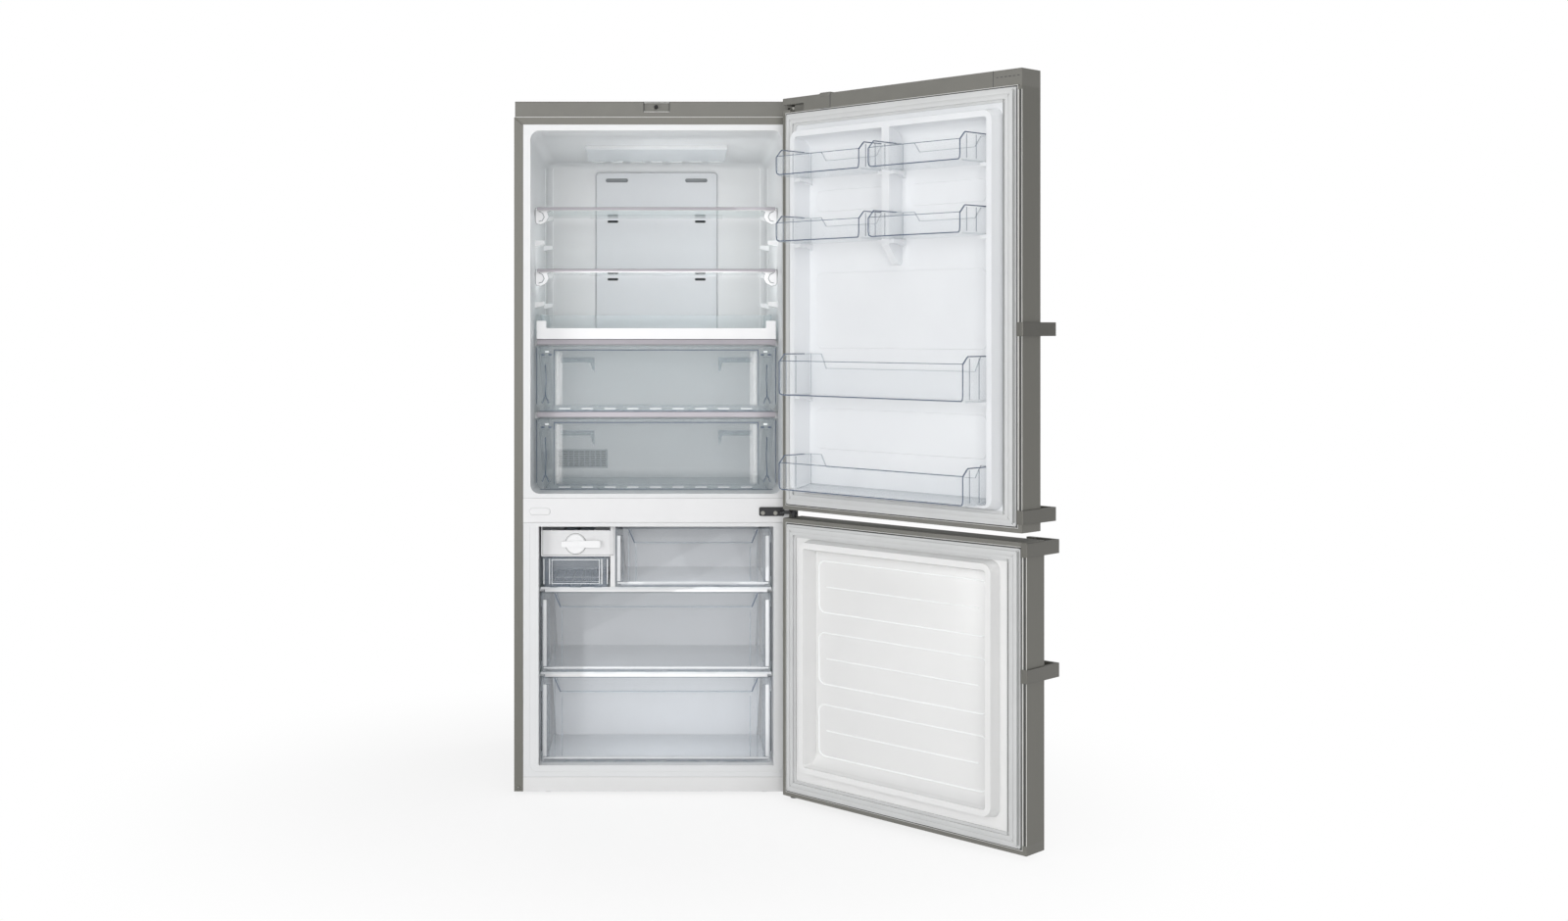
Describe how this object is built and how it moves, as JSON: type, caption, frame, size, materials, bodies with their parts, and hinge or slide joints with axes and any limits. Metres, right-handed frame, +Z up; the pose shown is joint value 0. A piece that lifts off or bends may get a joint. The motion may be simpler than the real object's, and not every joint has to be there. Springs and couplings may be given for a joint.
{
  "type": "fridge freezer",
  "caption": "Free-standing fridge freezer with a hinged fridge door over a hinged freezer door, glass shelves, crispers, a pull-out tray, freezer drawers and a twist ice maker.",
  "frame": {"origin": "floor level, below the middle of the cabinet's front face, the plane that the doors seal on", "axes": "+Z up, +X to the hinge side seen from the front, +Y to the back of the cabinet"},
  "size_m": [1.2379, 1.1864, 1.71],
  "materials": {
    "case_steel": "satin grey paint",
    "door_steel": "fine vertical brushing",
    "handle_steel": "satin",
    "zinc_steel": "dull zinc",
    "hinge_steel": "satin grey",
    "dark_steel": "satin black",
    "aluminium": "mill",
    "white_liner": "glossy formed sheet",
    "foam": "rigid foam",
    "white_plastic": "smooth moulding",
    "grey_plastic": "fine matt grain",
    "black_plastic": "matt",
    "lamp_lens": "frosted lens",
    "duct_plastic": "fine matt grain",
    "compressor_black": "gloss black",
    "rubber": "matt",
    "shelf_glass": "clear tempered",
    "freezer_glass": "clear tempered",
    "trim_grey": "satin grey",
    "ice_blue": "smooth",
    "blue_clear": "clear, bluish",
    "clear_plastic": "clear",
    "frost_clear": "clear with a frosted back",
    "gasket": "soft matt"
  },
  "bodies": {
    "cabinet": {"outer_case": "case_steel", "rear_panel": "zinc_steel", "base_plate": "zinc_steel", "fridge_liner": "white_liner", "freezer_liner": "white_liner", "cabinet_foam": "foam", "mullion_cover": "white_plastic", "mullion_plug": "white_plastic", "kick_plate": "white_plastic", "top_cover": "grey_plastic", "top_hinge": "hinge_steel", "middle_hinge": "dark_steel", "bottom_hinge": "dark_steel", "hinge_bolts": "dark_steel", "lamp_cover": "lamp_lens", "airflow_duct": "duct_plastic", "return_grille": "duct_plastic", "freezer_rear_cover": "white_plastic", "evaporator": "aluminium", "condenser": "dark_steel", "compressor": "compressor_black", "compressor_mounts": "rubber", "drain_pan": "black_plastic", "machine_cover": "zinc_steel", "shelf_panes": "shelf_glass", "shelf_trims": "trim_grey", "freezer_shelves": "freezer_glass", "ice_maker_housing": "white_plastic"},
    "fridge_door": {"fridge_door_skin": "door_steel", "fridge_door_liner": "white_liner", "fridge_door_gasket": "gasket", "fridge_door_caps": "grey_plastic", "fridge_handle": "handle_steel", "basket_upper_left": "clear_plastic", "basket_upper_right": "clear_plastic", "basket_middle_left": "clear_plastic", "basket_middle_right": "clear_plastic", "basket_large": "clear_plastic", "basket_bottom": "clear_plastic"},
    "freezer_door": {"freezer_door_skin": "door_steel", "freezer_door_liner": "white_liner", "freezer_door_gasket": "gasket", "freezer_door_caps": "grey_plastic", "freezer_handle": "handle_steel"},
    "pull_out_tray": {"tray_frame": "white_plastic", "tray_tub": "blue_clear"},
    "ice_twist": {"ice_tray": "ice_blue", "ice_knob": "white_plastic"},
    "crisper_upper": {"crisper_upper": "clear_plastic"},
    "crisper_lower": {"crisper_lower": "clear_plastic"},
    "drawer_small": {"drawer_small": "frost_clear"},
    "drawer_middle": {"drawer_middle": "frost_clear"},
    "drawer_lower": {"drawer_lower": "frost_clear"},
    "ice_bin": {"ice_bin": "blue_clear"},
    "door_switch": {"door_switch": "black_plastic"},
    "evaporator_fan": {"evaporator_fan": "black_plastic"},
    "condenser_fan": {"condenser_fan": "black_plastic"},
    "foot_left": {"foot_left": "black_plastic"},
    "foot_right": {"foot_right": "black_plastic"},
    "rear_rollers": {"rear_rollers": "black_plastic"}
  },
  "joints": [
    {"name": "fridge_door_hinge", "type": "hinge", "parent": "cabinet", "child": "fridge_door", "pos_m": [0.338, -0.036, 1.2], "axis": [0, 0, 1], "range_deg": [-133, 7]},
    {"name": "freezer_door_hinge", "type": "hinge", "parent": "cabinet", "child": "freezer_door", "pos_m": [0.338, -0.036, 0.35], "axis": [0, 0, 1], "range_deg": [-134.3, 5.7]},
    {"name": "tray_slide", "type": "slide", "parent": "cabinet", "child": "pull_out_tray", "axis": [0, -1, 0], "range_m": [0, 0.25]},
    {"name": "crisper_upper_slide", "type": "slide", "parent": "cabinet", "child": "crisper_upper", "axis": [0, -1, 0], "range_m": [0, 0.21]},
    {"name": "crisper_lower_slide", "type": "slide", "parent": "cabinet", "child": "crisper_lower", "axis": [0, -1, 0], "range_m": [0, 0.21]},
    {"name": "drawer_small_slide", "type": "slide", "parent": "cabinet", "child": "drawer_small", "axis": [0, -1, 0], "range_m": [0, 0.28]},
    {"name": "drawer_middle_slide", "type": "slide", "parent": "cabinet", "child": "drawer_middle", "axis": [0, -1, 0], "range_m": [0, 0.28]},
    {"name": "drawer_lower_slide", "type": "slide", "parent": "cabinet", "child": "drawer_lower", "axis": [0, -1, 0], "range_m": [0, 0.24]},
    {"name": "ice_bin_slide", "type": "slide", "parent": "cabinet", "child": "ice_bin", "axis": [0, -1, 0], "range_m": [0, 0.22]},
    {"name": "ice_twist_turn", "type": "hinge", "parent": "cabinet", "child": "ice_twist", "pos_m": [-0.2, 0.034, 0.6145], "axis": [0, 1, 0], "range_deg": [0, 130], "stiffness_Nm_per_rad": 0.4},
    {"name": "door_switch_press", "type": "slide", "parent": "cabinet", "child": "door_switch", "axis": [0, 1, 0], "range_m": [0, 0.004], "stiffness_N_per_m": 250},
    {"name": "evaporator_fan_spin", "type": "hinge", "parent": "cabinet", "child": "evaporator_fan", "pos_m": [0.07, 0.44, 0.592], "axis": [0, 1, 0], "continuous": true},
    {"name": "condenser_fan_spin", "type": "hinge", "parent": "cabinet", "child": "condenser_fan", "pos_m": [-0.04, 0.495, 0.0945], "axis": [1, 0, 0], "continuous": true},
    {"name": "foot_left_turn", "type": "hinge", "parent": "cabinet", "child": "foot_left", "pos_m": [-0.268, 0.046, 0.004], "axis": [0, 0, 1], "continuous": true},
    {"name": "foot_right_turn", "type": "hinge", "parent": "cabinet", "child": "foot_right", "pos_m": [0.268, 0.046, 0.004], "axis": [0, 0, 1], "continuous": true},
    {"name": "rear_rollers_spin", "type": "hinge", "parent": "cabinet", "child": "rear_rollers", "pos_m": [0, 0.56, 0.017], "axis": [1, 0, 0], "continuous": true}
  ]
}
